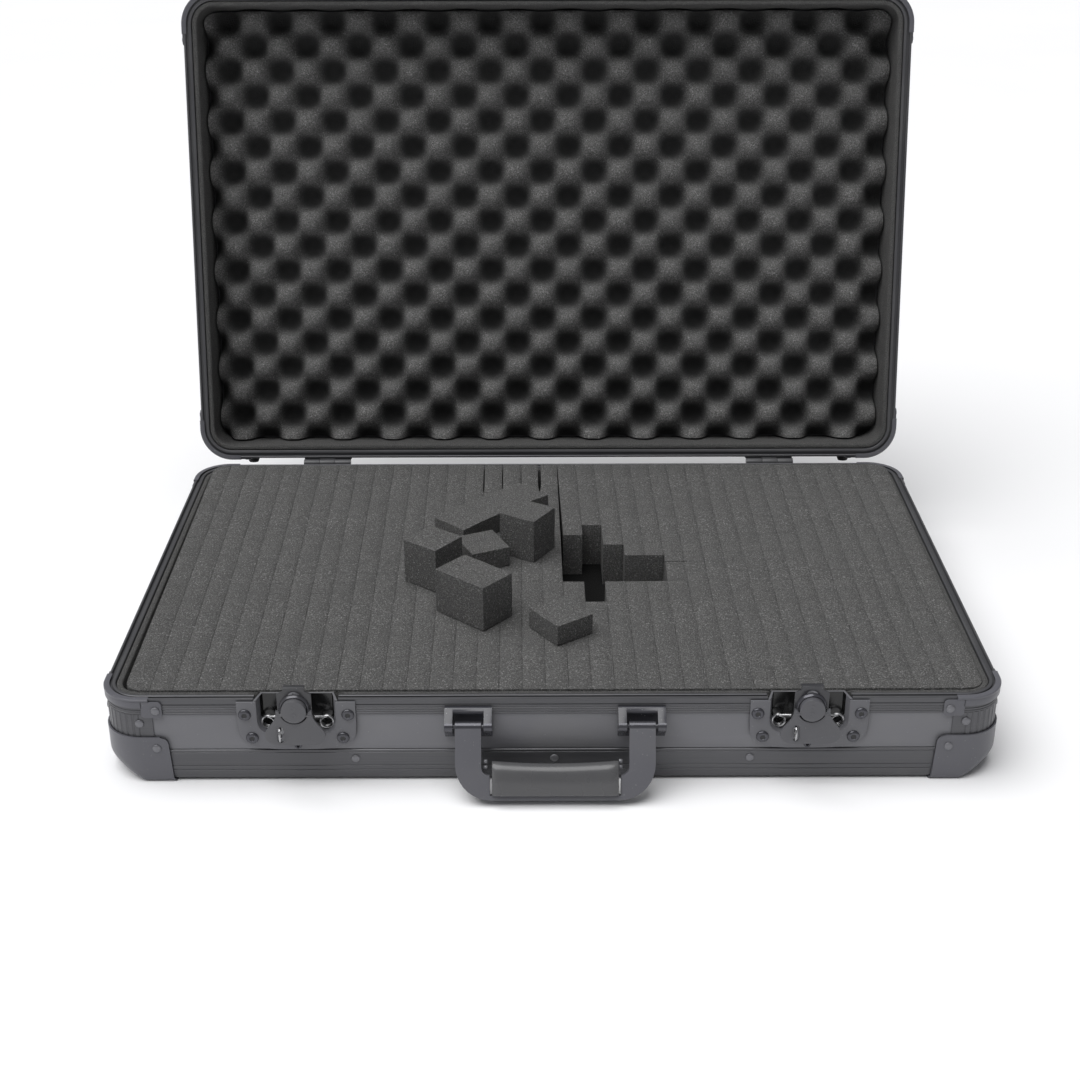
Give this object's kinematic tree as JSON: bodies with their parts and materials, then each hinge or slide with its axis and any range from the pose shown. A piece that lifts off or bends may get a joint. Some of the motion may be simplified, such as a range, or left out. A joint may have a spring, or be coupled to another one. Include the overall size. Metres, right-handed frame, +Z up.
{
  "type": "foam-lined equipment case",
  "caption": "Shallow equipment case, lid open, with aluminium rims, pressed ball corners, cube-cut foam in the base, convoluted foam in the lid, twist latches and a folding handle.",
  "frame": {"origin": "centre of the underside of the bottom board, on the surface that the case rests on", "axes": "+X to the right along the case's length, -Y to the front with the handle, +Z up"},
  "size_m": [0.583, 0.5486, 0.4299],
  "materials": {
    "extrusion": "black anodised, fine satin with drawn lines",
    "panel": "smooth satin grey-blue laminate skin",
    "corner_steel": "satin black coating on pressed steel",
    "board": "thin board with a black textured skin",
    "liner_foam": "thin matte foam strip",
    "cube_foam": "open-cell foam, matte and grainy",
    "egg_foam": "convoluted open-cell foam, matte",
    "hinge_steel": "satin black coating on steel",
    "latch_steel": "satin black coating on steel",
    "handle": "satin black coating",
    "grip": "smooth black, soft gloss"
  },
  "bodies": {
    "base": {"base_ball_corner_back_left": "corner_steel", "base_ball_corner_back_right": "corner_steel", "base_ball_corner_front_left": "corner_steel", "base_ball_corner_front_right": "corner_steel", "base_bottom_board": "board", "base_edge_back": "extrusion", "base_edge_front": "extrusion", "base_edge_left": "extrusion", "base_edge_right": "extrusion", "base_liner": "liner_foam", "base_panel_back": "panel", "base_panel_front": "panel", "base_panel_left": "panel", "base_panel_right": "panel", "base_post_back_left": "extrusion", "base_post_back_right": "extrusion", "base_post_front_left": "extrusion", "base_post_front_right": "extrusion", "base_rim": "extrusion", "base_rim_front_middle": "extrusion", "foam_block_a": "cube_foam", "foam_block_b": "cube_foam", "foam_block_c": "cube_foam", "foam_block_d": "cube_foam", "foam_block_e": "cube_foam", "foam_block_f": "cube_foam", "foam_grid": "cube_foam", "foam_pad": "cube_foam", "handle_bracket_left": "handle", "handle_bracket_right": "handle", "hinge_left_base_leaf": "hinge_steel", "hinge_right_base_leaf": "hinge_steel", "latch_left_dish": "latch_steel", "latch_right_dish": "latch_steel"},
    "lid": {"hinge_left_lid_leaf": "hinge_steel", "hinge_right_lid_leaf": "hinge_steel", "lid_ball_corner_back_left": "corner_steel", "lid_ball_corner_back_right": "corner_steel", "lid_ball_corner_front_left": "corner_steel", "lid_ball_corner_front_right": "corner_steel", "lid_catch_left": "latch_steel", "lid_catch_right": "latch_steel", "lid_edge_back": "extrusion", "lid_edge_front": "extrusion", "lid_edge_left": "extrusion", "lid_edge_right": "extrusion", "lid_egg_foam": "egg_foam", "lid_liner": "liner_foam", "lid_rim": "extrusion", "lid_top_board": "board", "lid_wall_band": "panel"},
    "latch_left_spindle": {"latch_left_spindle": "latch_steel"},
    "latch_left_wing": {"latch_left_wing": "latch_steel"},
    "latch_left_hook": {"latch_left_hook": "latch_steel"},
    "latch_right_spindle": {"latch_right_spindle": "latch_steel"},
    "latch_right_wing": {"latch_right_wing": "latch_steel"},
    "latch_right_hook": {"latch_right_hook": "latch_steel"},
    "handle": {"handle_frame": "handle", "handle_grip": "grip"}
  },
  "joints": [
    {"name": "lid_hinge", "type": "hinge", "parent": "base", "child": "lid", "pos_m": [0, 0.19105, 0.061], "axis": [1, 0, 0], "range_deg": [0, 103.5], "deforming": ["foam_block_a", "foam_block_c", "foam_block_e"]},
    {"name": "left_latch_turn", "type": "hinge", "parent": "base", "child": "latch_left_spindle", "pos_m": [-0.164, -0.192, 0.059], "axis": [0, -1, 0], "range_deg": [0, 180]},
    {"name": "left_wing_fold", "type": "hinge", "parent": "latch_left_spindle", "child": "latch_left_wing", "pos_m": [-0.164, -0.1972, 0.056], "axis": [-1, 0, 0], "range_deg": [0, 90]},
    {"name": "left_hook_draw", "type": "slide", "parent": "base", "child": "latch_left_hook", "axis": [0, 0.1961, -0.9806], "range_m": [0, 0.0071]},
    {"name": "right_latch_turn", "type": "hinge", "parent": "base", "child": "latch_right_spindle", "pos_m": [0.164, -0.192, 0.059], "axis": [0, -1, 0], "range_deg": [0, 180]},
    {"name": "right_wing_fold", "type": "hinge", "parent": "latch_right_spindle", "child": "latch_right_wing", "pos_m": [0.164, -0.1972, 0.056], "axis": [-1, 0, 0], "range_deg": [0, 90]},
    {"name": "right_hook_draw", "type": "slide", "parent": "base", "child": "latch_right_hook", "axis": [0, 0.1961, -0.9806], "range_m": [0, 0.0071]},
    {"name": "handle_swing", "type": "hinge", "parent": "base", "child": "handle", "pos_m": [0.0014, -0.1965, 0.0466], "axis": [-1, 0, 0], "range_deg": [-20, 90]}
  ],
  "couplings": [
    {"joint": "left_hook_draw", "follows": "left_latch_turn", "m_per_rad": 0.00225},
    {"joint": "right_hook_draw", "follows": "right_latch_turn", "m_per_rad": 0.00225}
  ]
}
